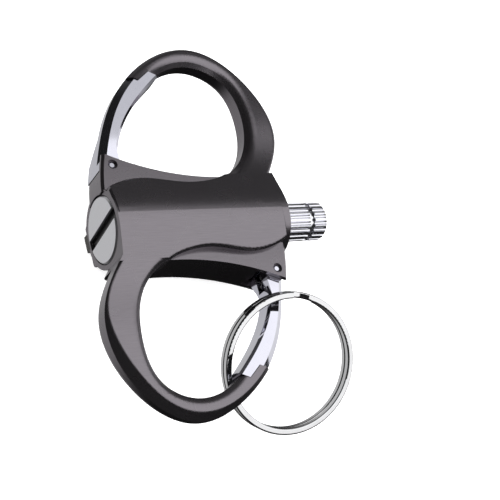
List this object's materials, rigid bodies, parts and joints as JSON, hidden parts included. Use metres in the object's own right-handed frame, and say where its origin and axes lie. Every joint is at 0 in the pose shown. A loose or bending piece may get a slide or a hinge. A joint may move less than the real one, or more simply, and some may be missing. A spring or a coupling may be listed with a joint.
{
  "type": "carabiner permanent match lighter",
  "caption": "Pocket match lighter shaped as an S: a fuel tank between two sprung snap loops, with a screw-in steel match, a striking strip and a split key ring.",
  "frame": {"origin": "on the face of the striking strip, straight below the middle of the tank; the lighter lies on the strip", "axes": "+X along the tank towards the knurled knob, +Y towards the upper loop, +Z towards the front"},
  "size_m": [0.0529, 0.0787, 0.0162],
  "materials": {
    "gunmetal": "satin brushed gunmetal on a zinc casting",
    "satin_metal": "satin nickel",
    "bright_chrome": "polished chrome",
    "spring_steel": "drawn steel",
    "ferrocerium": "matt ground ferrocerium",
    "black_rubber": "smooth rubber",
    "cotton": "loose cotton wadding",
    "wick_fibre": "woven glass fibre"
  },
  "bodies": {
    "frame": {"frame": "gunmetal", "tank_cotton": "cotton", "flint_strip": "ferrocerium", "upper_gate_pin": "bright_chrome", "lower_gate_pin": "bright_chrome"},
    "upper_gate": {"upper_gate": "bright_chrome", "upper_gate_spring": "spring_steel"},
    "lower_gate": {"lower_gate": "bright_chrome", "lower_gate_spring": "spring_steel"},
    "key_ring": {"key_ring": "bright_chrome"},
    "filler_seal": {"filler_o_ring": "black_rubber"},
    "filler_screw": {"filler_screw": "satin_metal"},
    "match_seal": {"match_o_ring": "black_rubber"},
    "match": {"match_knob": "bright_chrome", "match_tube": "spring_steel", "match_wick": "wick_fibre", "match_striker": "spring_steel"}
  },
  "joints": [
    {"name": "upper_gate_swing", "type": "hinge", "parent": "frame", "child": "upper_gate", "pos_m": [-0.0144, 0.0112, 0.0088], "axis": [0, 0, 1], "range_deg": [-35, 0], "stiffness_Nm_per_rad": 0.05},
    {"name": "lower_gate_swing", "type": "hinge", "parent": "frame", "child": "lower_gate", "pos_m": [0.0144, -0.0112, 0.0088], "axis": [0, 0, 1], "range_deg": [-35, 0], "stiffness_Nm_per_rad": 0.05},
    {"name": "key_ring_turn", "type": "hinge", "parent": "lower_gate", "child": "key_ring", "pos_m": [0.0141, -0.02852, 0.008], "axis": [-0.1115, -0.4654, 0.8781], "continuous": true},
    {"name": "filler_draw", "type": "slide", "parent": "frame", "child": "filler_seal", "axis": [-1, 0, 0], "range_m": [0, 0.0051]},
    {"name": "filler_turn", "type": "hinge", "parent": "filler_seal", "child": "filler_screw", "pos_m": [-0.0176, 0, 0.0088], "axis": [-1, 0, 0], "range_deg": [0, 2400]},
    {"name": "match_draw", "type": "slide", "parent": "frame", "child": "match_seal", "axis": [1, 0, 0], "range_m": [0, 0.045]},
    {"name": "match_turn", "type": "hinge", "parent": "match_seal", "child": "match", "pos_m": [0.03, 0, 0.0088], "axis": [1, 0, 0], "continuous": true}
  ],
  "couplings": [
    {"joint": "filler_draw", "follows": "filler_turn", "m_per_rad": 0.00011937}
  ]
}
